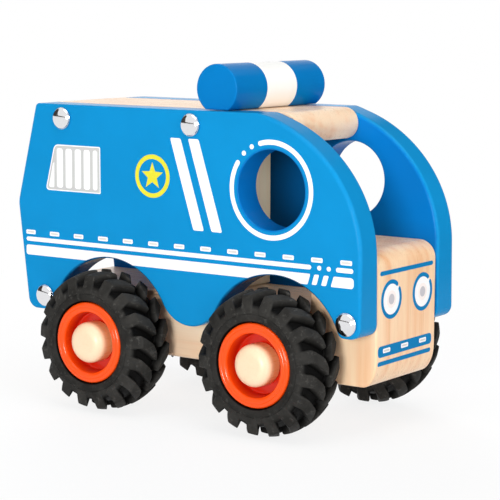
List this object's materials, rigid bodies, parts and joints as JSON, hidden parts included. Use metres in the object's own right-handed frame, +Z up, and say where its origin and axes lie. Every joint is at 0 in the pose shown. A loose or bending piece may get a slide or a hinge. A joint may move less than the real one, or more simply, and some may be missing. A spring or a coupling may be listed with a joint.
{
  "type": "toy police car",
  "caption": "Wooden toy police van with painted side panels, an open cab and rear bay, a light bar on the roof and four rubber-tyred wheels that turn freely.",
  "frame": {"origin": "on the floor, under the middle of the car", "axes": "+X forward, +Y to the car's left, +Z up"},
  "size_m": [0.1798, 0.1104, 0.1503],
  "materials": {
    "blue_paint": "satin blue paint on wood, with white prints",
    "light_bar_paint": "satin blue paint with a white band",
    "bare_wood": "smooth pale wood with a thin clear varnish",
    "chrome": "polished",
    "orange_plastic": "glossy moulded plastic",
    "black_rubber": "matt moulded rubber"
  },
  "bodies": {
    "body": {"right_side_panel": "blue_paint", "left_side_panel": "blue_paint", "roof_board": "bare_wood", "bulkhead": "bare_wood", "chassis_block": "bare_wood", "bonnet_block": "bare_wood", "light_bar": "light_bar_paint", "right_roof_rear_screw": "chrome", "right_roof_front_screw": "chrome", "right_chassis_screw": "chrome", "right_bonnet_screw": "chrome", "left_roof_rear_screw": "chrome", "left_roof_front_screw": "chrome", "left_chassis_screw": "chrome", "left_bonnet_screw": "chrome", "front_axle": "bare_wood", "front_right_hub_cap": "bare_wood", "front_left_hub_cap": "bare_wood", "rear_axle": "bare_wood", "rear_right_hub_cap": "bare_wood", "rear_left_hub_cap": "bare_wood"},
    "front_right_wheel": {"front_right_rim": "orange_plastic", "front_right_tyre": "black_rubber"},
    "front_left_wheel": {"front_left_rim": "orange_plastic", "front_left_tyre": "black_rubber"},
    "rear_right_wheel": {"rear_right_rim": "orange_plastic", "rear_right_tyre": "black_rubber"},
    "rear_left_wheel": {"rear_left_rim": "orange_plastic", "rear_left_tyre": "black_rubber"}
  },
  "joints": [
    {"name": "front_right_wheel_spin", "type": "hinge", "parent": "body", "child": "front_right_wheel", "pos_m": [0.0486, -0.04085, 0.0305], "axis": [0, 1, 0], "continuous": true},
    {"name": "front_left_wheel_spin", "type": "hinge", "parent": "body", "child": "front_left_wheel", "pos_m": [0.0486, 0.04085, 0.0305], "axis": [0, 1, 0], "continuous": true},
    {"name": "rear_right_wheel_spin", "type": "hinge", "parent": "body", "child": "rear_right_wheel", "pos_m": [-0.0377, -0.04085, 0.0305], "axis": [0, 1, 0], "continuous": true},
    {"name": "rear_left_wheel_spin", "type": "hinge", "parent": "body", "child": "rear_left_wheel", "pos_m": [-0.0377, 0.04085, 0.0305], "axis": [0, 1, 0], "continuous": true}
  ]
}
